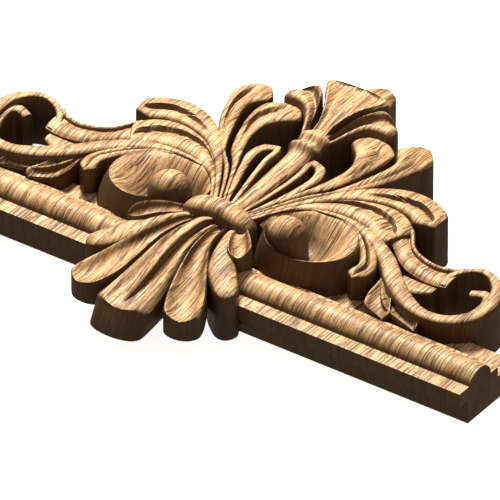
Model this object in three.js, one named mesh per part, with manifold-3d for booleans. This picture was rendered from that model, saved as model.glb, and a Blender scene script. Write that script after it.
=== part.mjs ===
// A run of carved frame moulding with a foliate cartouche planted over its middle.
// Millimetres. +X runs along the moulding, +Y points out of the frame, +Z is the front of the relief.
// The origin is the middle of the moulding's back face. X = 0 is the plane of symmetry.
import * as THREE from 'three';
import { mergeVertices } from 'three/addons/utils/BufferGeometryUtils.js';
import Module from 'manifold-3d';

const wasm = await Module();
wasm.setup();

// Moulding, measured from the wall of the rebate outwards and from the back face up.
const railLength = 356;
const rebateHeight = 13.6;
const lipWidth = 7.6;
const lipHeight = 21.9;
const torusStart = 0.2;
const torusWidth = 19.6;
const torusCentreHeight = 19.2;
const torusRise = 8.7;
const filletWidth = 6.3;
const filletHeight = 19.2;
const ledgeWidth = 15.8;
const ledgeHeight = 13.6;
const torusSteps = 12;

// Cartouche: its width and height set the scale of the whole carving.
const cartoucheWidth = 310;
const reliefHeight = 41;
const modulesWide = 620;
const modulesHigh = 82;
const seatGap = 0.3;
const finestDetail = 0.02;
const rowsPerLeaf = 8;
const rowsPerScroll = 15;
const swell = 0.75;
const swellLevel = 0.7;
const bluntEnd = 0.35;

// The carving is laid out in modules, measured from the rebate wall and from the back face.
const planModule = cartoucheWidth / modulesWide;
const heightModule = reliefHeight / modulesHigh;

const torusEnd = torusStart + torusWidth;
const ledgeStart = torusEnd + filletWidth;
const railDepth = ledgeStart + ledgeWidth;

// Cross-sections of the carved members: place across the member (-1 to 1) and share of its edge drop.
const rounded = [[-1, 1], [-0.8, 0.32], [-0.35, 0.03], [0.35, 0.03], [0.8, 0.32], [1, 1]];
const grooved = [
  [-1, 1], [-0.84, 0.3], [-0.45, 0], [-0.16, 0.3], [-0.02, 1.05],
  [0.1, 0.35], [0.4, 0.05], [0.82, 0.4], [1, 1],
];
const creased = [[-1, 0.8], [-0.82, 0.1], [-0.55, 0.25], [-0.42, 0.7], [0.2, 0.35], [0.75, 0.6], [1, 1]];
const hollowed = [[-1, 0.45], [-0.82, 0], [-0.45, 0.75], [0.1, 1], [0.55, 0.7], [0.85, 0.05], [1, 0.5]];
const cupped = [[-1, 0.3], [-0.82, 0], [-0.45, 0.55], [0.1, 0.85], [0.55, 0.8], [0.85, 0.7], [1, 1]];
const dished = [[-1, 0.04], [-0.92, 0], [-0.5, 0.16], [0, 0.35], [0.37, 0.52], [0.62, 0.95], [1, 1]];
const ridged = [
  [-1, 1], [-0.86, 0.25], [-0.68, 0], [-0.4, 0.45], [0, 0.3],
  [0.4, 0.45], [0.68, 0], [0.86, 0.25], [1, 1],
];

// A smooth value at u, from 0 to 1, through numbers that stand at equal steps.
function through(list, u) {
  const last = list.length - 1;
  const place = u * last;
  const i = Math.min(Math.floor(place), last - 1);
  const f = place - i;
  const before = i > 0 ? list[i - 1] : 2 * list[0] - list[1];
  const after = i + 2 <= last ? list[i + 2] : 2 * list[last] - list[last - 1];
  const a = list[i];
  const b = list[i + 1];
  const slopeA = (b - before) / 2;
  const slopeB = (after - a) / 2;
  const f2 = f * f;
  const f3 = f2 * f;
  return a * (2 * f3 - 3 * f2 + 1) + slopeA * (f3 - 2 * f2 + f) + b * (3 * f2 - 2 * f3) + slopeB * (f3 - f2);
}

function pointThrough(points, u) {
  return [through(points.map((p) => p[0]), u), through(points.map((p) => p[1]), u)];
}

// The two edges of a band from its middle line and its half-widths.
function bandEdges(spine, halfWidths) {
  const left = [];
  const right = [];
  const last = spine.length - 1;
  spine.forEach(([x, y], i) => {
    const [ax, ay] = spine[Math.max(i - 1, 0)];
    const [bx, by] = spine[Math.min(i + 1, last)];
    const length = Math.hypot(bx - ax, by - ay);
    const nx = -(by - ay) / length;
    const ny = (bx - ax) / length;
    left.push([x + nx * halfWidths[i], y + ny * halfWidths[i]]);
    right.push([x - nx * halfWidths[i], y - ny * halfWidths[i]]);
  });
  return { left, right };
}

function signedVolume(points, faces) {
  let volume = 0;
  for (const [a, b, c] of faces) {
    const p = points[a];
    const q = points[b];
    const r = points[c];
    volume += p[0] * (q[1] * r[2] - q[2] * r[1]);
    volume += p[1] * (q[2] * r[0] - q[0] * r[2]);
    volume += p[2] * (q[0] * r[1] - q[1] * r[0]);
  }
  return volume / 6;
}

// A closed solid from points and faces, turned so that the faces point outwards.
function solidFrom(points, faces) {
  const flat = new THREE.BufferGeometry();
  const turned = signedVolume(points, faces) < 0 ? faces.map(([a, b, c]) => [a, c, b]) : faces;
  flat.setAttribute('position', new THREE.Float32BufferAttribute(points.flat(), 3));
  flat.setIndex(turned.flat());
  return solidFromGeometry(flat);
}

function solidFromGeometry(geometry) {
  geometry.deleteAttribute('normal');
  geometry.deleteAttribute('uv');
  const merged = mergeVertices(geometry, 1e-4);
  const index = [];
  for (let i = 0; i < merged.index.count; i += 3) {
    const corner = [merged.index.getX(i), merged.index.getX(i + 1), merged.index.getX(i + 2)];
    if (new Set(corner).size === 3) {
      index.push(...corner);
    }
  }
  return new wasm.Manifold(new wasm.Mesh({
    numProp: 3,
    vertProperties: new Float32Array(merged.attributes.position.array),
    triVerts: new Uint32Array(index),
  }));
}

function geometryOf(solid) {
  const mesh = solid.setTolerance(finestDetail).getMesh();
  const geometry = new THREE.BufferGeometry();
  geometry.setAttribute('position', new THREE.Float32BufferAttribute(mesh.vertProperties, 3));
  geometry.setIndex(Array.from(mesh.triVerts));
  geometry.computeVertexNormals();
  return geometry;
}

// A carved member: a surface ruled between two edges, its crown and edge drop given along it,
// standing on upright walls. A round tip rolls over to the height of the edges, and a blunt one also draws
// them together. The wall under the left edge may swell outwards, and the foot of the tip may reach forward.
function member({
  left, right, crown, drop, section, foot = 0, round = 0.3, blunt = false, flare = 0, toe = 0, side = 1,
  rows = rowsPerLeaf,
}) {
  const points = [];
  const faces = [];
  const stride = section.length + (flare > 0 ? 3 : 2);
  for (let k = 0; k <= rows; k += 1) {
    const u = round > 0 ? 1 - (1 - k / rows) ** 1.5 : k / rows;
    const [lx, ly] = pointThrough(left, u);
    const [rx, ry] = pointThrough(right, u);
    const height = through(crown, u);
    const edge = through(drop, u);
    const past = round > 0 ? Math.max(0, (u - 1 + round) / round) : 0;
    const fade = Math.sqrt(Math.max(0, 1 - past * past));
    const close = blunt ? Math.max(fade, bluntEnd) : 1;
    const across = (t) => [
      (lx + rx) / 2 + ((rx - lx) / 2) * t * close,
      (ly + ry) / 2 + ((ry - ly) / 2) * t * close,
    ];
    const row = section.map(([t, share]) => [...across(t), height - edge * (1 - fade) - edge * share * fade]);
    const width = Math.hypot(rx - lx, ry - ly) || 1;
    const outX = ((lx - rx) / width) * flare;
    const outY = ((ly - ry) / width) * flare;
    const reach = toe * Math.max(0, (u - 0.6) / 0.4);
    const [leftX, leftY] = across(-1);
    const [rightX, rightY] = across(1);
    row.push([rightX, rightY - reach, foot], [leftX + outX, leftY + outY - reach, foot]);
    if (flare > 0) {
      row.push([leftX + outX * swell, leftY + outY * swell, foot + (row[0][2] - foot) * swellLevel]);
    }
    row.forEach(([x, y, z]) => points.push([side * x * planModule, y * planModule, z * heightModule]));
  }
  for (let k = 0; k < rows; k += 1) {
    for (let j = 0; j < stride; j += 1) {
      const a = k * stride + j;
      const b = k * stride + ((j + 1) % stride);
      faces.push([a, b, b + stride], [a, b + stride, a + stride]);
    }
  }
  const corner = stride - 1;
  const end = rows * stride;
  for (let j = 0; j < corner - 1; j += 1) {
    faces.push([corner, j + 1, j], [end + corner, end + j, end + j + 1]);
  }
  return solidFrom(points, faces);
}

// A low dome on an upright round foot, such as the eye of a scroll.
function dome({ centre, radius: outer, base, top, foot = 0, side = 1, steps = 5, turns = 14 }) {
  const profile = [new THREE.Vector2(0, foot * heightModule)];
  for (let k = 0; k <= steps; k += 1) {
    const angle = (k / steps) * (Math.PI / 2);
    const radius = k === steps ? 0 : Math.cos(angle);
    profile.push(new THREE.Vector2(radius, (base + (top - base) * Math.sin(angle)) * heightModule));
  }
  profile.splice(1, 0, new THREE.Vector2(1, foot * heightModule));
  const lathe = new THREE.LatheGeometry(profile, turns);
  lathe.rotateX(Math.PI / 2);
  lathe.scale(outer * planModule, outer * planModule, 1);
  lathe.translate(side * centre[0] * planModule, centre[1] * planModule, 0);
  return solidFromGeometry(lathe);
}

// Upper leaves, from the knot outwards.
function innerUpperLobe(side) {
  return member({
    side,
    left: [[5, 88], [36, 160], [50, 195], [56, 222], [50, 244], [32, 266], [46, 289]],
    right: [[9, 88], [43, 161], [62, 188], [74, 219], [80, 246], [79, 272], [56, 290]],
    crown: [57, 58, 60, 62, 64, 64, 62],
    drop: [3, 4, 4, 5, 6, 6, 5],
    section: grooved,
  });
}

function outerUpperLobe(side) {
  return member({
    side,
    left: [[9, 88], [42, 157], [65, 184], [83, 229], [89, 258], [77, 281], [90, 301]],
    right: [[12, 88], [47, 154], [75, 186], [101, 223], [114, 256], [119, 282], [104, 301]],
    crown: [57, 58, 60, 62, 63, 63, 61],
    drop: [3, 4, 4, 5, 6, 6, 4],
    section: grooved,
  });
}

function upperSideLobe(side) {
  return member({
    side,
    left: [[11, 88], [50, 157], [85, 205], [121, 229], [154, 233], [182, 218], [183, 194]],
    right: [[15, 86], [53, 147], [90, 184], [122, 196], [147, 195], [162, 188], [181, 192]],
    crown: [58, 59, 60, 61, 60, 60, 60],
    drop: [3, 4, 6, 6, 6, 6, 5],
    section: grooved,
  });
}

function lowerSideLobe(side) {
  return member({
    side,
    left: [[14, 87], [50, 145], [84, 182], [120, 197], [150, 193], [169, 172], [155, 142]],
    right: [[20, 84], [47, 131], [76, 150], [102, 157], [126, 153], [142, 144], [155, 142]],
    crown: [58, 59, 60, 60, 60, 60, 59],
    drop: [3, 4, 6, 6, 6, 6, 5],
    section: grooved,
  });
}

function loopLeaf(side) {
  const outer = bandEdges(
    [[8, 88], [26, 142], [35, 172], [39, 192], [34, 207], [22, 213]],
    [3, 4, 5, 6, 6, 5],
  );
  const inner = bandEdges([[4, 88], [14, 142], [19, 172], [21, 192], [20, 206], [23, 215]], [2, 3, 3.5, 4, 4, 4]);
  const crown = [54, 56, 58, 60, 61, 61];
  const drop = [3, 3, 4, 4, 4, 4];
  return [outer, inner].map((edges) => member({ side, ...edges, crown, drop, section: rounded, round: 0 }));
}

// The large scroll beside the knot: a dished band round a pit, its rim rising to the eye.
function scroll(side) {
  const eye = [71, 94.5];
  const eyeRadius = 22.5;
  const pitRadius = 18;
  const rim = [
    [36, 98], [40, 126], [60, 147], [92, 155], [123, 143], [141, 119], [143, 94],
    [131, 73], [111, 60], [90, 57], [72, 61], [60, 70], [55, 82],
  ];
  const pitEdge = rim.map(([x, y]) => {
    const angle = Math.atan2(y - eye[1], x - eye[0]);
    return [eye[0] + pitRadius * Math.cos(angle), eye[1] + pitRadius * Math.sin(angle)];
  });
  const band = member({
    side,
    left: rim,
    right: pitEdge,
    crown: [56, 57, 58, 59, 59.5, 60, 60.5, 62, 63.5, 65, 68, 71, 73],
    drop: [20, 24, 26, 27, 28, 28, 28, 29, 30, 30, 26, 18, 8],
    section: dished,
    round: 0,
    flare: 14,
    rows: rowsPerScroll,
  });
  return [band, dome({ side, centre: eye, radius: eyeRadius, base: 55, top: 78 })];
}

function hookLeaf(side) {
  return member({
    side,
    left: [[104, 146], [118, 141], [136, 126], [149, 110], [156, 96], [154, 82], [163, 75]],
    right: [[108, 156], [128, 149], [150, 134], [166, 117], [175, 100], [174, 84], [163, 75]],
    crown: [59, 59, 59, 59, 59, 59, 58],
    drop: [4, 4, 5, 5, 5, 5, 4],
    section: grooved,
  });
}

// The running stem that ends in the outer scroll, with its small curled end.
function stem(side) {
  const run = bandEdges(
    [
      [66, 149], [102, 152], [138, 143], [170, 126], [198, 100], [224, 81], [250, 71], [276, 74],
      [295, 91], [301, 116], [296, 138], [284, 151], [270, 157], [258, 154], [245, 148],
    ],
    [1.5, 4, 8, 10, 11, 10, 8, 8, 8.5, 8.5, 7, 5.5, 4.5, 4, 3],
  );
  const curl = bandEdges([[293, 96], [296, 112], [292, 127], [281, 133], [266, 126]], [4, 6, 6, 6, 5]);
  return [
    member({
      side,
      ...run,
      crown: [58, 60, 60, 57, 55, 54, 53, 53, 54, 56, 58, 59, 59, 56, 47],
      drop: [2, 4, 6, 7, 7, 6, 5, 5, 5, 4, 4, 3, 3, 3, 3],
      section: rounded,
      round: 0,
      rows: rowsPerScroll,
    }),
    member({ side, ...curl, crown: [46, 48, 50, 50, 48], drop: [3, 3, 3, 3, 3], section: rounded, round: 0 }),
  ];
}

function stemLeaves(side) {
  return [
    member({
      side,
      left: [[150, 178], [166, 182], [184, 159], [202, 150], [222, 148], [238, 154], [245, 160]],
      right: [[146, 150], [160, 150], [175, 138], [192, 127], [212, 122], [230, 121], [244, 123]],
      crown: [57, 57, 55, 54, 53, 53, 53],
      drop: [6, 6, 6, 6, 6, 6, 5],
      section: creased,
      round: 0,
    }),
    member({
      side,
      left: [[196, 122], [210, 121], [223, 121], [236, 121]],
      right: [[200, 98], [213, 100], [225, 104], [236, 110]],
      crown: [46, 46, 46, 46],
      drop: [2, 2, 2, 2],
      section: rounded,
      round: 0,
    }),
  ];
}

function ledgeLeaves(side) {
  return [
    member({
      side,
      left: [[180, 112], [182, 92], [183, 74], [190, 56], [212, 50]],
      right: [[200, 98], [208, 82], [214, 70], [218, 58], [212, 50]],
      crown: [50, 48, 46, 45, 44],
      drop: [4, 5, 6, 6, 5],
      section: hollowed,
      foot: 20,
    }),
    member({
      side,
      left: [[196, 100], [206, 84], [214, 70], [226, 57], [250, 53]],
      right: [[222, 84], [234, 74], [246, 68], [258, 62], [250, 53]],
      crown: [50, 48, 46, 45, 44],
      drop: [4, 5, 6, 6, 5],
      section: hollowed,
      foot: 20,
    }),
  ];
}

// Crest: two dished petals and a flaring cup over a back petal, on a collared stalk.
function crestPetal(side) {
  return member({
    side,
    left: [[6, 244], [13, 256], [19, 273], [27, 291], [40, 308], [56, 306]],
    right: [[8, 236], [19, 248], [28, 266], [41, 281], [64, 285], [69, 297]],
    crown: [62, 64, 67, 71, 74, 72],
    drop: [8, 9, 11, 13, 13, 8],
    section: cupped,
    round: 0.2,
  });
}

function crestCup() {
  return member({
    left: [[-9, 252], [-10, 264], [-14, 280], [-20, 296], [-30, 314], [-40, 331]],
    right: [[9, 252], [10, 264], [14, 280], [20, 296], [30, 314], [40, 331]],
    crown: [66, 68, 72, 77, 77, 74],
    drop: [9, 9, 10, 8, 5, 3],
    section: rounded,
    round: 0,
  });
}

function crestBackPetal() {
  return member({
    left: [[-30, 310], [-26, 330], [-20, 352], [-15, 368], [0, 378]],
    right: [[30, 310], [26, 330], [20, 352], [15, 368], [0, 378]],
    crown: [66, 60, 54, 51, 50],
    drop: [4, 4, 4, 4, 4],
    section: rounded,
    round: 0.35,
  });
}

function stalk() {
  const run = bandEdges([[0, 86], [0, 150], [0, 190], [0, 226], [0, 256]], [5, 9, 12, 13, 12]);
  const rings = [232, 254].map((y) => {
    const ring = bandEdges([[-13.5, y], [0, y - 2], [13.5, y]], [4, 5, 4]);
    return member({ ...ring, crown: [52, 66, 52], drop: [4, 6, 4], section: rounded, round: 0, rows: 4 });
  });
  return [
    member({ ...run, crown: [58, 57, 58, 60, 62], drop: [6, 9, 11, 12, 12], section: rounded, round: 0 }),
    ...rings,
  ];
}

function knot() {
  const roll = bandEdges([[-43, 79], [-37, 79], [-20, 79], [0, 79], [20, 79], [37, 79], [43, 79]],
    [6, 13, 17, 17, 17, 13, 6]);
  return member({
    ...roll,
    crown: [57, 68, 77, 80, 77, 68, 57],
    drop: [6, 14, 20, 22, 20, 14, 6],
    section: rounded,
    round: 0,
    foot: 20,
  });
}

// Lower fan, from the middle rib outwards.
function fanMiddle() {
  const rib = bandEdges([[0, 76], [0, 50], [0, 20], [0, -18], [0, -45], [0, -68]], [4, 5, 6, 6, 6, 5]);
  return [
    member({
      left: [[-9, 74], [-13, 45], [-18, 10], [-23, -25], [-27, -55], [-30, -79], [-31, -98]],
      right: [[9, 74], [13, 45], [18, 10], [23, -25], [27, -55], [30, -79], [31, -98]],
      crown: [60, 72, 76, 69, 62, 58, 57],
      drop: [5, 7, 8, 7, 6, 5, 4],
      blunt: true,
      section: ridged,
      round: 0.14,
      foot: 26,
      toe: 16,
    }),
    member({ ...rib, crown: [62, 77, 82, 77, 69, 60], drop: [3, 3, 4, 4, 4, 4], section: rounded, round: 0 }),
  ];
}

function fanLobe(side) {
  return member({
    side,
    left: [[18, 74], [25, 48], [33, 18], [49, -10], [64, -34], [75, -57], [78, -75]],
    right: [[8, 74], [13, 45], [18, 8], [22, -20], [28, -48], [37, -70], [47, -84]],
    crown: [60, 72, 76, 70, 61, 56, 54],
    drop: [5, 6, 7, 6, 6, 5, 4],
    section: hollowed,
    blunt: true,
    round: 0.16,
  });
}

// The leaf beside the fan laps over the lip and runs down in front of the rebate.
function fanLeaf(side) {
  return member({
    side,
    foot: 8,
    left: [[26, 78], [38, 50], [53, 30], [67, 14], [80, -1], [89, -14], [92, -25]],
    right: [[20, 74], [27, 48], [34, 22], [42, -2], [53, -16], [66, -27], [78, -36]],
    crown: [60, 70, 73, 71, 67, 64, 63],
    drop: [5, 6, 6, 6, 5, 5, 4],
    section: rounded,
    blunt: true,
    round: 0.18,
  });
}

function fanCurl(side) {
  return member({
    side,
    left: [[35, 76], [49, 58], [62, 44], [72, 32], [67, 14]],
    right: [[27, 68], [35, 48], [44, 32], [52, 20], [67, 14]],
    crown: [62, 72, 76, 76, 74],
    drop: [4, 5, 6, 6, 4],
    section: hollowed,
    round: 0.25,
    foot: 20,
  });
}

// Outline of the moulding across its run: distance from the rebate wall, and height.
function railOutline() {
  const outline = [
    [0, 0],
    [0, rebateHeight],
    [-lipWidth, rebateHeight],
    [-lipWidth, lipHeight],
    [torusStart, lipHeight],
  ];
  for (let k = 0; k <= torusSteps; k += 1) {
    const angle = Math.PI * (1 - k / torusSteps);
    const y = torusStart + (torusWidth / 2) * (1 + Math.cos(angle));
    const z = torusCentreHeight + torusRise * Math.sin(angle);
    if (k === torusSteps || z > lipHeight) {
      outline.push([y, k === torusSteps ? filletHeight : z]);
    }
  }
  outline.push([ledgeStart, filletHeight], [ledgeStart, ledgeHeight], [railDepth, ledgeHeight], [railDepth, 0]);
  return outline;
}

// The same outline moved outwards by a gap, corner by corner.
function grown(outline, gap) {
  const count = outline.length;
  return outline.map((point, i) => {
    const before = outline[(i + count - 1) % count];
    const after = outline[(i + 1) % count];
    const a = new THREE.Vector2(point[0] - before[0], point[1] - before[1]).normalize();
    const b = new THREE.Vector2(after[0] - point[0], after[1] - point[1]).normalize();
    const shift = new THREE.Vector2(-a.y - b.y, a.x + b.x);
    const scale = (2 * gap) / shift.lengthSq();
    return [point[0] + shift.x * scale, point[1] + shift.y * scale];
  });
}

// A prism along X from an outline in the Y-Z plane.
function runOf(outline, length) {
  const shape = new THREE.Shape(outline.map(([y, z]) => new THREE.Vector2(y, z)));
  const geometry = new THREE.ExtrudeGeometry(shape, { depth: length, bevelEnabled: false });
  geometry.translate(0, 0, -length / 2);
  return geometry.applyMatrix4(new THREE.Matrix4().set(0, 0, 1, 0, 1, 0, 0, 0, 0, 1, 0, 0, 0, 0, 0, 1));
}

function joined(solids) {
  return solids.reduce((whole, next) => whole.add(next));
}

function cartouche() {
  const pairs = [
    innerUpperLobe, outerUpperLobe, upperSideLobe, lowerSideLobe, loopLeaf, scroll, hookLeaf, stem,
    stemLeaves, ledgeLeaves, crestPetal, fanLobe, fanCurl,
  ];
  const middle = [crestCup, crestBackPetal, stalk, knot, fanMiddle];
  const bothSides = (make) => [-1, 1].flatMap((side) => make(side));
  const body = joined([...pairs.flatMap(bothSides), ...middle.flatMap((make) => make())]);
  const reach = 2 * cartoucheWidth;
  const rebateSide = [[-reach, -reach], [-reach, rebateHeight], [railDepth / 2, rebateHeight], [railDepth / 2, -reach]];
  const seat = solidFromGeometry(runOf(grown(railOutline(), seatGap), reach));
  const overhanging = body.subtract(solidFromGeometry(runOf(rebateSide, reach)));
  return joined([overhanging, ...bothSides(fanLeaf)]).subtract(seat);
}

function wood(name, colour, roughness) {
  return new THREE.MeshStandardMaterial({ name, color: colour, roughness, metalness: 0 });
}

function piece(name, geometry, material) {
  const mesh = new THREE.Mesh(geometry, material);
  mesh.name = name;
  mesh.position.y = -railDepth / 2;
  return mesh;
}

const carvedFrame = new THREE.Group();
carvedFrame.add(piece('frame_rail', runOf(railOutline(), railLength), wood('rail wood', 0xb98a5c, 0.45)));
carvedFrame.add(piece('carved_cartouche', geometryOf(cartouche()), wood('carved wood', 0xc2935f, 0.42)));

export default carvedFrame;
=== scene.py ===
"""A run of frame moulding with a carved foliate cartouche over its middle. Metres, +Z is the front."""

import math

import bpy
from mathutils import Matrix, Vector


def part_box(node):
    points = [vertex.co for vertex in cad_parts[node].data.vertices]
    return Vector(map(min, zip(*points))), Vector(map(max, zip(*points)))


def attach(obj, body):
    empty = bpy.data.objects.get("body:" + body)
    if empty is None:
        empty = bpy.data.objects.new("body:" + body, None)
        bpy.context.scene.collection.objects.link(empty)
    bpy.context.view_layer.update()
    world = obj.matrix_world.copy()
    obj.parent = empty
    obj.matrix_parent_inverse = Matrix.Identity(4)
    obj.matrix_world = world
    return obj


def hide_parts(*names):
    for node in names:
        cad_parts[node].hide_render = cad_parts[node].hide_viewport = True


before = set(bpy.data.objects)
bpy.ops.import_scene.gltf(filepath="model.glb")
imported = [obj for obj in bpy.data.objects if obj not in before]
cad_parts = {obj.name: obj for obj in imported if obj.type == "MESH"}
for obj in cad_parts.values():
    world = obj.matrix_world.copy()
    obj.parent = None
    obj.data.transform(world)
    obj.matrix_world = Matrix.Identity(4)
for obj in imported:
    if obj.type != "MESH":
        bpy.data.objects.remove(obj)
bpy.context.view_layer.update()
bpy.ops.object.select_all(action="DESELECT")

# The moulding is one length of planed hardwood: a lip over a rebate, a large round, a fillet and a ledge.
# It is run with moulding planes and sawn square at both ends. The grain shows across it, along Y.
rail_lo, rail_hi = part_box("frame_rail")
rail_length = rail_hi[0] - rail_lo[0]
rebate_height = 0.0136
lip_width = 0.0076
lip_height = 0.0219
lip_root = 0.0012
round_start = 0.0002
round_width = 0.0196
round_rise = 0.0087
round_facets = 96
fillet_end = 0.0261
fillet_height = 0.0192
rail_depth = 0.0419
eased_edge = 0.0003
# Y of the rebate's wall, from which the moulding and the carving are set out.
wall_y = -rail_depth / 2

pale_wood = (0.78, 0.51, 0.27, 1)
deep_wood = (0.47, 0.25, 0.11, 1)
open_pore = (0.11, 0.045, 0.018, 1)
# Painted shade: the dark brown laid over the faces that turn upright and over the low places.
painted_shade_colour = (0.085, 0.045, 0.022, 1)
broad_grain = (210, 30, 20)
fine_grain = (1100, 45, 32)
pore_grain = (760, 42, 30)
wandering = (90, 30, 40)
growth_lines = 230
line_wander = 11
wax_roughness = 0.4
dry_roughness = 0.6
wax_shine = 0.25
grain_depth = 0.0002
# Painted shade darkens everything below a height and fades out over this rise above it; the moulding's
# height lies below its underside, so it gets none.
shade_fades_over = 0.009
no_low_shade = -0.02


def only(obj):
    bpy.ops.object.select_all(action="DESELECT")
    obj.select_set(True)
    bpy.context.view_layer.objects.active = obj


def apply_place(obj):
    only(obj)
    bpy.ops.object.transform_apply(location=True, rotation=True, scale=True)


def block(low, high):
    """A sawn block between two corners."""
    middle = [(a + b) / 2 for a, b in zip(low, high)]
    size = [b - a for a, b in zip(low, high)]
    bpy.ops.mesh.primitive_cube_add(size=1, location=middle, scale=size)
    obj = bpy.context.active_object
    apply_place(obj)
    return obj


def cut_or_join(obj, other, operation):
    """Joins other to obj, or cuts it out of obj, and takes other away."""
    only(obj)
    step = obj.modifiers.new(operation.lower(), "BOOLEAN")
    step.operation = operation
    step.solver = "MANIFOLD"
    step.object = other
    bpy.ops.object.modifier_apply(modifier=step.name)
    bpy.data.objects.remove(other)
    return obj


def moulding_blank(length, grow):
    """The moulding's solid, every face set out by grow."""
    end = length / 2
    foot = block((-end, wall_y - grow, -grow), (end, wall_y + rail_depth + grow, rebate_height + grow))
    step = block((-end, wall_y - grow, -grow), (end, wall_y + fillet_end + grow, fillet_height + grow))
    lip = block((-end, wall_y - lip_width - grow, rebate_height - grow),
                (end, wall_y + lip_root, lip_height + grow))
    centre = (0, wall_y + round_start + round_width / 2, fillet_height)
    bpy.ops.mesh.primitive_cylinder_add(vertices=round_facets, radius=1, depth=length, location=centre,
                                        rotation=(0, math.pi / 2, 0))
    rod = bpy.context.active_object
    rod.scale = (round_rise + grow, round_width / 2 + grow, 1)
    apply_place(rod)
    for other in (step, lip, rod):
        cut_or_join(foot, other, "UNION")
    return foot


def ease_edges(obj, width):
    """Takes the arrises off with fine sandpaper."""
    only(obj)
    bevel = obj.modifiers.new("eased edges", "BEVEL")
    bevel.width = width
    bevel.segments = 2
    bevel.limit_method = "ANGLE"
    bevel.angle_limit = math.radians(40)
    bpy.ops.object.modifier_apply(modifier=bevel.name)
    bpy.ops.object.shade_smooth_by_angle(angle=math.radians(30))


def grey(level):
    return (level, level, level, 1)


def feed(links, socket, value):
    """Gives a socket a value, or links it to another node's output."""
    if hasattr(value, "is_linked"):
        links.new(value, socket)
    else:
        socket.default_value = value


def streaks(nodes, links, place, scale, detail, shift):
    """Noise drawn out along the grain."""
    stretch = nodes.new("ShaderNodeMapping")
    stretch.inputs["Scale"].default_value = scale
    stretch.inputs["Location"].default_value = (shift, -shift, 0)
    noise = nodes.new("ShaderNodeTexNoise")
    noise.inputs["Scale"].default_value = 1
    noise.inputs["Detail"].default_value = detail
    noise.inputs["Roughness"].default_value = 0.6
    links.new(place, stretch.inputs["Vector"])
    links.new(stretch.outputs["Vector"], noise.inputs["Vector"])
    return noise.outputs["Fac"]


def ramp(nodes, links, value, stops):
    node = nodes.new("ShaderNodeValToRGB")
    node.color_ramp.elements[0].position = stops[0][0]
    node.color_ramp.elements[0].color = stops[0][1]
    node.color_ramp.elements[1].position = stops[-1][0]
    node.color_ramp.elements[1].color = stops[-1][1]
    for position, colour in stops[1:-1]:
        node.color_ramp.elements.new(position).color = colour
    links.new(value, node.inputs["Fac"])
    return node.outputs["Color"]


def mixed(nodes, links, blend, share, a, b):
    node = nodes.new("ShaderNodeMix")
    node.data_type = "RGBA"
    node.blend_type = blend
    feed(links, node.inputs["Factor"], share)
    feed(links, node.inputs["A"], a)
    feed(links, node.inputs["B"], b)
    return node.outputs["Result"]


def worked(nodes, links, operation, *values):
    """Arithmetic on numbers or on other nodes' outputs."""
    node = nodes.new("ShaderNodeMath")
    node.operation = operation
    for socket, value in zip(node.inputs, values):
        feed(links, socket, value)
    return node.outputs["Value"]


def figured_wood(name, shaded_below):
    """Stained and waxed hardwood: long grain along Y, open pores and growth lines.

    Painted shade darkens the upright faces, and painted shade darkens everything below a height."""
    wood = bpy.data.materials.new(name)
    wood.use_nodes = True
    nodes, links = wood.node_tree.nodes, wood.node_tree.links
    shader = nodes["Principled BSDF"]
    place = nodes.new("ShaderNodeTexCoord")
    broad = streaks(nodes, links, place.outputs["Object"], broad_grain, 3, 3.1)
    fine = streaks(nodes, links, place.outputs["Object"], fine_grain, 3, 7.7)
    pores = streaks(nodes, links, place.outputs["Object"], pore_grain, 3, 1.3)
    bend = streaks(nodes, links, place.outputs["Object"], wandering, 5, 5.9)

    apart = nodes.new("ShaderNodeSeparateXYZ")
    links.new(place.outputs["Object"], apart.inputs["Vector"])
    across = worked(nodes, links, "MULTIPLY", apart.outputs["X"], growth_lines)
    wander = worked(nodes, links, "MULTIPLY_ADD", bend, line_wander, across)
    lines = worked(nodes, links, "PINGPONG", wander, 0.5)

    body = ramp(nodes, links, broad, ((0.3, deep_wood), (0.58, pale_wood)))
    thread = ramp(nodes, links, fine, ((0.4, grey(0.2)), (0.52, grey(1.0))))
    hole = ramp(nodes, links, pores, ((0.38, grey(0.95)), (0.42, grey(0))))
    ring = ramp(nodes, links, lines, ((0.0, grey(0.9)), (0.08, grey(0))))
    colour = mixed(nodes, links, "MULTIPLY", 0.85, body, thread)
    colour = mixed(nodes, links, "MIX", ring, colour, open_pore)
    colour = mixed(nodes, links, "MIX", hole, colour, open_pore)

    # Painted shade: the more a face turns upright, away from the lamp overhead, the more it is painted dark
    # brown.
    facing = nodes.new("ShaderNodeSeparateXYZ")
    links.new(place.outputs["Normal"], facing.inputs["Vector"])
    upright = ramp(nodes, links, facing.outputs["Z"],
                   ((0.5, grey(0.95)), (0.64, grey(0.55)), (0.78, grey(0.18)), (0.92, grey(0))))
    # Painted shade: below a height the colour is painted dark brown, fading out over a short rise above it.
    low = nodes.new("ShaderNodeMapRange")
    low.inputs["From Min"].default_value = shaded_below + shade_fades_over
    low.inputs["From Max"].default_value = shaded_below
    links.new(apart.outputs["Z"], low.inputs["Value"])
    # The two painted shades are laid on here: first on the upright faces, then below the height.
    colour = mixed(nodes, links, "MIX", upright, colour, painted_shade_colour)
    colour = mixed(nodes, links, "MIX", low.outputs["Result"], colour, painted_shade_colour)
    links.new(colour, shader.inputs["Base Color"])

    shader.inputs["Specular IOR Level"].default_value = wax_shine
    rough = ramp(nodes, links, fine, ((0.3, grey(dry_roughness)), (0.6, grey(wax_roughness))))
    links.new(rough, shader.inputs["Roughness"])
    pits = mixed(nodes, links, "MIX", hole, grey(1), grey(0))
    bump = nodes.new("ShaderNodeBump")
    bump.inputs["Strength"].default_value = 0.3
    bump.inputs["Distance"].default_value = grain_depth
    links.new(mixed(nodes, links, "MULTIPLY", 0.7, thread, pits), bump.inputs["Height"])
    links.new(bump.outputs["Normal"], shader.inputs["Normal"])
    return wood


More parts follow.
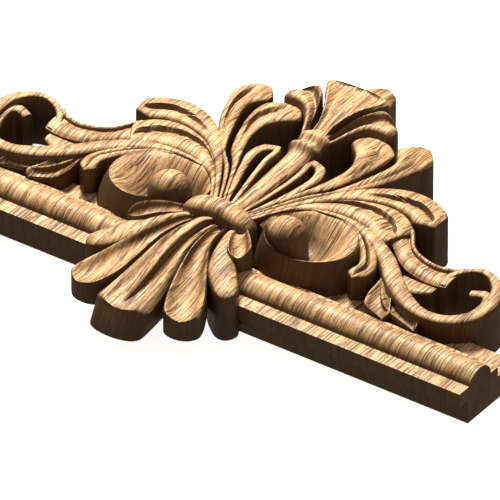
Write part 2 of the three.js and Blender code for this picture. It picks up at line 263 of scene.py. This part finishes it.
rail = moulding_blank(rail_length, 0)
rail.name = "moulding"
rail.data.materials.clear()
ease_edges(rail, eased_edge)
rail.data.materials.append(figured_wood("rail wood", no_low_shade))
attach(rail, "root")
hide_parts("frame_rail")

# The cartouche is one block of the same hardwood, carved with gouges and planted over the moulding. It is
# laid out in modules, 620 to its width and 82 to its height, from the rebate's wall. Each leaf is a strip
# between two edges, raised to its crown, hollowed or grooved, and let down to its foot.
cartouche_width = 0.310
relief_height = 0.041
plan_module = cartouche_width / 620
height_module = relief_height / 82
seat_gap = 0.0003
# Below this height the carving is painted with shade, darkest in the pits of the great scrolls.
low_shade_height = 0.0135
leaf_rows = 30
scroll_rows = 80
strip_columns = 26
narrow_columns = 14
plain_wall = (0, 0.95, 1)
flared_wall = (0, 0.2, 0.4, 0.6, 0.8, 0.95, 1)
wall_swell = 2.6
blunt_fullness = 3.2
blunt_end = 0.0025
toe_start = 0.6
groove_ease = 1.7
weld = 1e-6

# Sections of a strip: places across it, and the share of the edge's drop that it has there.
ROUNDED = ((-1, 1), (-0.93, 0.62), (-0.8, 0.32), (-0.5, 0.07), (0, 0), (0.5, 0.07), (0.8, 0.32),
           (0.93, 0.62), (1, 1))
SOFT = ((-1, 1), (-0.92, 0.5), (-0.72, 0.16), (-0.4, 0.0), (0.1, 0.05), (0.6, 0.3), (0.88, 0.6), (1, 1))
CREASED = ((-1, 0.8), (-0.9, 0.25), (-0.74, 0.05), (-0.55, 0.25), (-0.44, 0.72), (-0.3, 0.62), (0.2, 0.35),
           (0.75, 0.6), (1, 1))
HOLLOWED = ((-1, 0.45), (-0.92, 0.1), (-0.8, 0.05), (-0.45, 0.75), (0.1, 1), (0.55, 0.7), (0.85, 0.05),
            (0.95, 0.1), (1, 0.5))
CUPPED = ((-1, 0.5), (-0.94, 0.12), (-0.84, 0), (-0.72, 0.14), (-0.54, 0.62), (-0.38, 0.72), (-0.1, 0.5),
          (0.3, 0.3), (0.7, 0.42), (0.9, 0.7), (1, 1))
FLARED = ((-1, 0.5), (-0.94, 0.1), (-0.86, 0), (-0.72, 0.4), (-0.5, 0.75), (-0.3, 0.45), (-0.05, 0.8),
          (0.25, 0.5), (0.5, 0.75), (0.72, 0.4), (0.86, 0), (0.94, 0.1), (1, 0.5))
DISHED = ((-1, 0.06), (-0.98, 0.01), (-0.94, 0), (-0.9, 0.03), (-0.6, 0.12), (-0.25, 0.32), (0.1, 0.6),
          (0.4, 0.86), (0.65, 0.97), (1, 1))
RIDGED = ((-1, 1), (-0.86, 0.25), (-0.68, 0), (-0.4, 0.45), (0, 0.3), (0.4, 0.45), (0.68, 0), (0.86, 0.25),
          (1, 1))


def hermite(a, b, slope_a, slope_b, f):
    """A smooth value at f, from 0 to 1, between two values with their slopes."""
    f2, f3 = f * f, f * f * f
    near = a * (2 * f3 - 3 * f2 + 1) + slope_a * (f3 - 2 * f2 + f)
    return near + b * (3 * f2 - 2 * f3) + slope_b * (f3 - f2)


def through(values, u):
    """A smooth value at u, from 0 to 1, through values that stand at equal steps."""
    last = len(values) - 1
    i = min(int(u * last), last - 1)
    before = values[i - 1] if i > 0 else 2 * values[0] - values[1]
    after = values[i + 2] if i + 2 <= last else 2 * values[last] - values[last - 1]
    a, b = values[i], values[i + 1]
    return hermite(a, b, (b - before) / 2, (after - a) / 2, u * last - i)


def point_through(points, u):
    return through([p[0] for p in points], u), through([p[1] for p in points], u)


def share_at(section, t):
    """How much of the edge's drop a strip has at t, from -1 to 1 across it."""
    i = max(k for k in range(len(section) - 1) if section[k][0] <= t)
    slopes = []
    for k in (i, i + 1):
        near, far = section[max(k - 1, 0)], section[min(k + 1, len(section) - 1)]
        slopes.append((far[1] - near[1]) / (far[0] - near[0]))
    (ta, a), (tb, b) = section[i], section[i + 1]
    width = tb - ta
    return hermite(a, b, slopes[0] * width, slopes[1] * width, (t - ta) / width)


def band_edges(spine, half_widths):
    """The two edges of a band from its middle line and its half-widths."""
    left, right = [], []
    for i, ((x, y), half) in enumerate(zip(spine, half_widths)):
        (ax, ay), (bx, by) = spine[max(i - 1, 0)], spine[min(i + 1, len(spine) - 1)]
        length = math.hypot(bx - ax, by - ay)
        nx, ny = -(by - ay) / length, (bx - ax) / length
        left.append((x + nx * half, y + ny * half))
        right.append((x - nx * half, y - ny * half))
    return {"left": left, "right": right}


def groove_depth(grooves, t, u):
    """Depth of the V-cuts at a place. Each reaches so far to its two sides, and its short side is steep."""
    depth = 0
    for places, depths, before, after in grooves:
        away = t - through(places, u)
        reach, other = (before, after) if away < 0 else (after, before)
        near = max(0, 1 - abs(away) / reach)
        depth += max(0, through(depths, u)) * near ** (1 if reach < other else groove_ease)
    return depth


def strip(left, right, crown, drop, section, foot=0, tip=0.3, blunt=False, scoop=False, flare=0, toe=0,
          side=1, rows=leaf_rows, grooves=(), columns=strip_columns):
    """One carved strip: a grid is raised on upright sides, laid between its two edges and bent to shape.

    Its tip rolls down to the edge, draws in where it is blunt, and stays up as a rim where it is a scoop.
    A flare spreads the foot of its left wall, and a toe carries the foot of its tip outwards."""
    bpy.ops.mesh.primitive_grid_add(x_subdivisions=columns, y_subdivisions=rows, size=2)
    obj = bpy.context.active_object
    lifts = flared_wall if flare else plain_wall
    bpy.ops.object.mode_set(mode="EDIT")
    for low, high in zip(lifts, lifts[1:]):
        bpy.ops.mesh.extrude_region_move(TRANSFORM_OT_translate={"value": (0, 0, high - low)})
    bpy.ops.object.mode_set(mode="OBJECT")
    for vertex in obj.data.vertices:
        t, step, up = min(max(vertex.co.x, -1), 1), (vertex.co.y + 1) / 2, vertex.co.z
        u = 1 - (1 - step) ** (2 if blunt else 1.5) if tip else step
        (lx, ly), (rx, ry) = point_through(left, u), point_through(right, u)
        width = math.hypot(rx - lx, ry - ly) or 1
        past = max(0, (u - 1 + tip) / tip) if tip else 0
        fade = math.sqrt(max(0, 1 - past * past))
        edge = through(drop, u)
        top = through(crown, u) - edge * share_at(section, t) * fade
        if not scoop:
            top -= edge * (1 - fade)
        top -= groove_depth(grooves, t, u) * fade
        half = t / 2 * (max(1 - past ** blunt_fullness, blunt_end) ** 0.5 if blunt else 1)
        spread = flare * (1 - up ** wall_swell) * (0.5 - t / 2)
        x = (lx + rx) / 2 + (rx - lx) * half + (lx - rx) / width * spread
        y = (ly + ry) / 2 + (ry - ly) * half + (ly - ry) / width * spread
        y -= toe * max(0, (u - toe_start) / (1 - toe_start)) * (1 - up)
        z = foot + (top - foot) * up
        vertex.co = (side * x * plan_module, y * plan_module + wall_y, z * height_module)
    close_up(obj)
    return obj


def close_up(obj):
    """Welds what has met at a tip and turns the faces outwards."""
    only(obj)
    bpy.ops.object.mode_set(mode="EDIT")
    bpy.ops.mesh.select_all(action="SELECT")
    bpy.ops.mesh.remove_doubles(threshold=weld)
    bpy.ops.mesh.dissolve_degenerate(threshold=weld)
    bpy.ops.mesh.quads_convert_to_tris()
    bpy.ops.mesh.normals_make_consistent(inside=False)
    bpy.ops.object.mode_set(mode="OBJECT")


def boss(centre, radius, base, top, foot=0, side=1):
    """A turned boss: a dome on an upright round foot."""
    place = (side * centre[0] * plan_module, centre[1] * plan_module + wall_y, base * height_module)
    bpy.ops.mesh.primitive_uv_sphere_add(segments=48, ring_count=28, radius=1, location=place)
    obj = bpy.context.active_object
    obj.scale = (radius * plan_module, radius * plan_module, (top - base) * height_module)
    apply_place(obj)
    for vertex in obj.data.vertices:
        if vertex.co.z < base * height_module - weld:
            out = math.hypot(vertex.co.x - place[0], vertex.co.y - place[1])
            grow = radius * plan_module / out if out > weld else 0
            vertex.co.x = place[0] + (vertex.co.x - place[0]) * grow
            vertex.co.y = place[1] + (vertex.co.y - place[1]) * grow
            vertex.co.z = foot * height_module
    close_up(obj)
    return obj


def inner_upper_lobe(side):
    """The upright lobe next to the stalk."""
    return [strip(
        side=side,
        left=[(5, 88), (36, 160), (50, 195), (56, 222), (50, 244), (32, 266), (46, 289)],
        right=[(9, 88), (43, 161), (62, 188), (74, 219), (80, 246), (79, 272), (56, 290)],
        crown=[57, 58, 60, 62, 64, 64, 62], drop=[3, 4, 4, 5, 6, 6, 5], section=SOFT,
        grooves=[([0, 0, 0, 0.1, 0.35, 0.2, 0.1], [0, 0, 0, 3, 6, 5, -4], 0.6, 0.16)])]


def outer_upper_lobe(side):
    """The lobe outside it, with its end turned out."""
    return [strip(
        side=side,
        left=[(9, 88), (42, 157), (65, 184), (83, 229), (89, 258), (77, 281), (90, 301)],
        right=[(12, 88), (47, 154), (75, 186), (101, 223), (114, 256), (119, 282), (104, 301)],
        crown=[57, 58, 60, 62, 63, 63, 61], drop=[3, 4, 4, 5, 6, 6, 4], section=SOFT,
        grooves=[([0, 0, 0.1, 0.2, 0.2, 0.2, 0.1], [0, 0, 0, 3, 6, 5, -4], 0.6, 0.18)])]


def upper_side_lobe(side):
    """The long lobe that bends over the scroll and down."""
    return [strip(
        side=side,
        left=[(11, 88), (50, 157), (85, 205), (121, 229), (154, 233), (182, 218), (183, 194)],
        right=[(15, 86), (53, 147), (90, 184), (122, 196), (147, 195), (162, 188), (181, 192)],
        crown=[58, 59, 60, 61, 60, 60, 60], drop=[3, 4, 6, 6, 6, 6, 5], section=ROUNDED,
        grooves=[([0.4, 0.4, 0.37, 0.2, 0, 0, 0], [0, 0, 0, 5, 6, 5, -6], 0.14, 0.7)])]


def lower_side_lobe(side):
    """The shorter lobe under it, close round the scroll."""
    return [strip(
        side=side,
        left=[(14, 87), (50, 145), (84, 182), (120, 197), (150, 193), (169, 172), (155, 142)],
        right=[(20, 84), (47, 131), (76, 150), (102, 157), (126, 153), (142, 144), (155, 142)],
        crown=[58, 59, 60, 60, 60, 60, 59], drop=[3, 4, 6, 6, 6, 6, 5], section=ROUNDED,
        grooves=[([-0.6, -0.6, -0.5, -0.28, -0.15, -0.05, 0], [0, 0, 4, 6, 6, 5, -6], 0.14, 0.7)])]


def loop_leaf(side):
    """The two strands of the loop beside the stalk."""
    outer = band_edges([(8, 88), (26, 142), (35, 172), (39, 192), (34, 207), (22, 213)], [3, 4, 5, 6, 6, 5])
    inner = band_edges([(4, 88), (14, 142), (19, 172), (21, 192), (20, 206), (23, 215)],
                       [2, 3, 3.5, 4, 4, 4])
    return [strip(side=side, crown=[54, 56, 58, 60, 61, 61], drop=[3, 3, 4, 4, 4, 4], section=ROUNDED, tip=0,
                  columns=narrow_columns, **edges) for edges in (outer, inner)]


def scroll(side):
    """The great scroll: a dished band round a pit, its rim climbing to the eye."""
    eye, eye_radius, pit_radius = (71, 94.5), 22.5, 18
    rim = [(36, 98), (40, 126), (60, 147), (92, 155), (123, 143), (141, 119), (143, 94), (131, 73),
           (111, 60), (90, 57), (72, 61), (60, 70), (55, 82)]
    angles = [math.atan2(y - eye[1], x - eye[0]) for x, y in rim]
    pit_edge = [(eye[0] + pit_radius * math.cos(a), eye[1] + pit_radius * math.sin(a)) for a in angles]
    band = strip(rim, pit_edge, side=side, section=DISHED, tip=0, flare=14, rows=scroll_rows, columns=44,
                 crown=[56, 57, 58, 59, 59.5, 60, 60.5, 62, 63.5, 65, 68, 71, 73],
                 drop=[20, 24, 26, 27, 28, 28, 28, 29, 30, 30, 26, 18, 8])
    return [band, boss(eye, eye_radius, 55, 78, side=side)]


def hook_leaf(side):
    """The small leaf that hooks round the outside of the great scroll."""
    return [strip(
        side=side,
        left=[(104, 146), (118, 141), (136, 126), (149, 110), (156, 96), (154, 82), (163, 75)],
        right=[(108, 156), (128, 149), (150, 134), (166, 117), (175, 100), (174, 84), (163, 75)],
        crown=[59, 59, 59, 59, 59, 59, 58], drop=[4, 4, 5, 5, 5, 5, 4], section=SOFT,
        grooves=[([-0.1, -0.1, -0.1, -0.1, 0, 0, 0], [0, 4, 5, 5, 5, 3, 0], 0.2, 0.5)])]


def stem(side):
    """The running stem that ends in the outer scroll, with the small curl inside it."""
    run = band_edges(
        [(66, 149), (102, 152), (138, 143), (170, 126), (198, 100), (224, 81), (250, 71), (276, 74),
         (295, 91), (301, 116), (296, 138), (284, 151), (270, 157), (257, 156), (245, 149), (238, 137),
         (240, 124)],
        [1.5, 4, 8, 10, 11, 10, 8, 8, 8.5, 8.5, 7, 5.5, 4.5, 4, 4, 4, 4])
    curl = band_edges([(288, 98), (295, 111), (294, 126), (284, 134), (270, 129)], [5, 8, 8, 7, 6])
    return [
        strip(side=side, crown=[58, 60, 60, 57, 55, 54, 53, 53, 54, 56, 58, 59, 59, 57, 54, 52, 50],
              drop=[2, 4, 6, 7, 7, 6, 5, 5, 5, 4, 4, 3, 3, 3, 3, 3, 3], section=ROUNDED, tip=0,
              rows=scroll_rows, columns=20, **run),
        strip(side=side, crown=[46, 49, 51, 51, 50], drop=[3, 4, 5, 5, 5], section=ROUNDED, tip=0,
              columns=narrow_columns, **curl)]


def stem_leaves(side):
    """The leaf that rides on the stem towards the outer scroll, and the low web under it."""
    return [
        strip(side=side,
              left=[(150, 178), (166, 182), (184, 159), (202, 150), (222, 148), (238, 154), (245, 160)],
              right=[(146, 150), (160, 150), (175, 138), (192, 127), (212, 122), (230, 121), (244, 123)],
              crown=[57, 57, 55, 54, 53, 53, 53], drop=[6, 6, 6, 6, 6, 6, 5], section=CREASED, tip=0),
        strip(side=side, left=[(196, 122), (210, 121), (223, 121), (236, 121)],
              right=[(200, 98), (213, 100), (225, 104), (236, 110)], crown=[46, 46, 46, 46],
              drop=[2, 2, 2, 2], section=ROUNDED, tip=0, columns=narrow_columns)]


def ledge_leaves(side):
    """The two blades that lie under the stem and over the moulding's ledge."""
    return [
        strip(side=side, foot=20, left=[(180, 112), (182, 92), (183, 74), (192, 57), (217, 51)],
              right=[(200, 98), (208, 82), (215, 70), (221, 59), (217, 51)],
              crown=[50, 48, 46, 45, 44], drop=[4, 5, 6, 6, 5], section=HOLLOWED),
        strip(side=side, foot=20, left=[(180, 108), (192, 84), (207, 67), (229, 56), (255, 52)],
              right=[(206, 98), (220, 86), (236, 74), (252, 64), (255, 52)],
              crown=[50, 48, 46, 45, 44], drop=[4, 5, 6, 6, 5], section=HOLLOWED)]


def crest_petal(side):
    """The petal beside the cup, hollowed under a rolled rim."""
    return [strip(
        side=side,
        left=[(6, 244), (13, 256), (18, 274), (25, 294), (37, 312), (53, 311)],
        right=[(8, 236), (19, 248), (28, 266), (41, 281), (64, 285), (69, 297)],
        crown=[62, 65, 69, 73, 74, 71], drop=[6, 9, 11, 12, 11, 9], section=CUPPED, blunt=True, tip=0.2)]


def crest_cup():
    """The fluted cup, flaring from the upper collar."""
    return [strip(
        left=[(-9, 252), (-9, 263), (-13, 277), (-21, 293), (-32, 311), (-40, 329)],
        right=[(9, 252), (9, 263), (13, 277), (21, 293), (32, 311), (40, 329)],
        crown=[64, 68, 72, 76, 77, 76], drop=[3, 4, 5, 6, 6, 5], section=FLARED, blunt=True, scoop=True,
        tip=0.1)]


def crest_back_petal():
    """The petal that stands up behind the cup."""
    return [strip(
        left=[(-30, 310), (-26, 330), (-20, 352), (-15, 368), (0, 378)],
        right=[(30, 310), (26, 330), (20, 352), (15, 368), (0, 378)],
        crown=[66, 60, 54, 51, 50], drop=[4, 4, 4, 4, 4], section=ROUNDED, tip=0.35)]


def stalk():
    """The stalk of the crest, swelling at its two collars."""
    run = band_edges([(0, y) for y in (86, 118, 150, 182, 210, 220, 228, 236, 246, 254, 262)],
                     [7, 9.5, 12, 14, 15, 16, 20, 17, 20, 17, 13])
    return [strip(crown=[58, 57, 57, 58, 59, 61, 67, 63, 68, 65, 64],
                  drop=[6, 8, 10, 12, 12, 12, 15, 12, 15, 12, 12], section=ROUNDED, tip=0, rows=scroll_rows,
                  **run)]


def knot():
    """The roll across the middle that binds the leaves."""
    roll = band_edges([(x, 79) for x in (-43, -39, -28, -14, 0, 14, 28, 39, 43)],
                      [5, 11, 16, 17, 17, 17, 16, 11, 5])
    return strip(crown=[56, 65, 74, 78, 80, 78, 74, 65, 56], drop=[6, 12, 18, 21, 22, 21, 18, 12, 6],
                 section=ROUNDED, tip=0, foot=20, **roll)


def fan_middle():
    """The middle leaf of the fan and the rib along it. Its tip leans out over the rebate."""
    rib = band_edges([(0, 76), (0, 50), (0, 20), (0, -18), (0, -55), (0, -92)], [4, 5, 5.5, 5.5, 5, 3])
    return [
        strip(left=[(-9, 74), (-13, 45), (-18, 10), (-23, -25), (-27, -55), (-30, -79), (-31, -98)],
              right=[(9, 74), (13, 45), (18, 10), (23, -25), (27, -55), (30, -79), (31, -98)],
              crown=[60, 72, 76, 69, 62, 58, 57], drop=[5, 7, 8, 7, 7, 7, 5], section=RIDGED, blunt=True,
              tip=0.14, foot=26, toe=16),
        strip(crown=[62, 77, 81.5, 78, 67, 54], drop=[3, 3, 4, 4, 4, 4], section=ROUNDED, tip=0,
              columns=narrow_columns, **rib)]


def fan_lobe(side):
    """The hollowed lobe to each side of the middle leaf."""
    return [strip(
        side=side,
        left=[(18, 74), (25, 48), (33, 18), (49, -10), (64, -34), (75, -57), (78, -75)],
        right=[(8, 74), (13, 45), (18, 8), (22, -20), (28, -48), (37, -70), (47, -84)],
        crown=[60, 72, 76, 70, 61, 56, 54], drop=[5, 6, 8, 8, 7, 7, 4], section=HOLLOWED, blunt=True,
        tip=0.16)]


def fan_leaf(side):
    """The leaf beside the fan laps over the lip and runs down in front of the rebate."""
    return [strip(
        side=side, foot=8,
        left=[(26, 78), (38, 50), (53, 30), (67, 14), (80, -1), (89, -14), (92, -25)],
        right=[(20, 74), (27, 48), (34, 22), (42, -2), (53, -16), (66, -27), (78, -36)],
        crown=[60, 70, 73, 71, 67, 64, 63], drop=[5, 6, 7, 7, 7, 7, 6], section=ROUNDED, blunt=True,
        tip=0.18)]


def fan_curl(side):
    """The scooped curl in the corner between the fan and the great scroll."""
    return [strip(
        side=side, foot=20,
        left=[(36, 78), (48, 64), (60, 50), (70, 36), (72, 20)],
        right=[(27, 70), (34, 50), (42, 34), (50, 21), (62, 13)],
        crown=[62, 71, 76, 77, 74], drop=[4, 6, 9, 10, 7], section=HOLLOWED, blunt=True, scoop=True,
        tip=0.25)]


middle_members = (crest_cup, crest_back_petal, stalk, fan_middle)
mirrored_members = (inner_upper_lobe, outer_upper_lobe, upper_side_lobe, lower_side_lobe, loop_leaf, scroll,
                    hook_leaf, stem, stem_leaves, ledge_leaves, crest_petal, fan_lobe, fan_curl)
well_past = 1
cartouche = knot()
for make in middle_members:
    for member in make():
        cut_or_join(cartouche, member, "UNION")
for make in mirrored_members:
    for member in make(-1) + make(1):
        cut_or_join(cartouche, member, "UNION")
# Nothing but the leaf beside the fan reaches down in front of the rebate.
under_lip = block((-well_past, -well_past, -well_past), (well_past, 0, rebate_height))
cut_or_join(cartouche, under_lip, "DIFFERENCE")
for member in fan_leaf(-1) + fan_leaf(1):
    cut_or_join(cartouche, member, "UNION")
cut_or_join(cartouche, moulding_blank(2 * cartouche_width, seat_gap), "DIFFERENCE")
cartouche.name = "cartouche_carving"
cartouche.data.materials.clear()
only(cartouche)
bpy.ops.object.shade_smooth_by_angle(angle=math.radians(32))
weight = cartouche.modifiers.new("weighted normals", "WEIGHTED_NORMAL")
weight.keep_sharp = True
bpy.ops.object.modifier_apply(modifier=weight.name)
cartouche.data.materials.append(figured_wood("carved wood", low_shade_height))
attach(cartouche, "root")
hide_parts("carved_cartouche")

# A plain white table that shines a little, so that it stays white under the lamp. The lamp is a soft one,
# overhead to the left and behind. The camera has a long lens and stands at the photograph's angle.
bpy.ops.mesh.primitive_plane_add(size=6, location=(0, 0, 0))
floor = bpy.context.active_object
floor.name = "table"
floor.visible_diffuse = False
floor.visible_glossy = False
paper = bpy.data.materials.new("white table")
paper.use_nodes = True
sheet = paper.node_tree.nodes["Principled BSDF"]
sheet.inputs["Base Color"].default_value = (0.9, 0.9, 0.9, 1)
sheet.inputs["Roughness"].default_value = 0.9
sheet.inputs["Emission Color"].default_value = (1, 1, 1, 1)
sheet.inputs["Emission Strength"].default_value = 0.9
floor.data.materials.append(paper)

aim_x, aim_y = 0.003985, 0.0398
turn, tilt = math.radians(35), math.radians(35)
distance = 11.11
out = distance * math.cos(tilt)
bpy.ops.object.camera_add(
    location=(aim_x + out * math.sin(turn), aim_y - out * math.cos(turn), distance * math.sin(tilt)),
    rotation=(math.pi / 2 - tilt, 0, turn))
camera = bpy.context.active_object
camera.data.lens = 1600
camera.data.sensor_width = 36
bpy.context.scene.camera = camera

bpy.ops.object.light_add(type="AREA", location=(-0.55, 0.62, 1.15))
lamp = bpy.context.active_object
lamp.data.size = 0.35
lamp.data.energy = 38
lamp.data.color = (1, 0.93, 0.8)
lamp.rotation_euler = (math.radians(-26), math.radians(-25), 0)
world = bpy.data.worlds.new("room")
world.use_nodes = True
world.node_tree.nodes["Background"].inputs["Color"].default_value = (1, 0.88, 0.72, 1)
world.node_tree.nodes["Background"].inputs["Strength"].default_value = 0.33
bpy.context.scene.world = world
bpy.context.scene.view_settings.view_transform = "Standard"
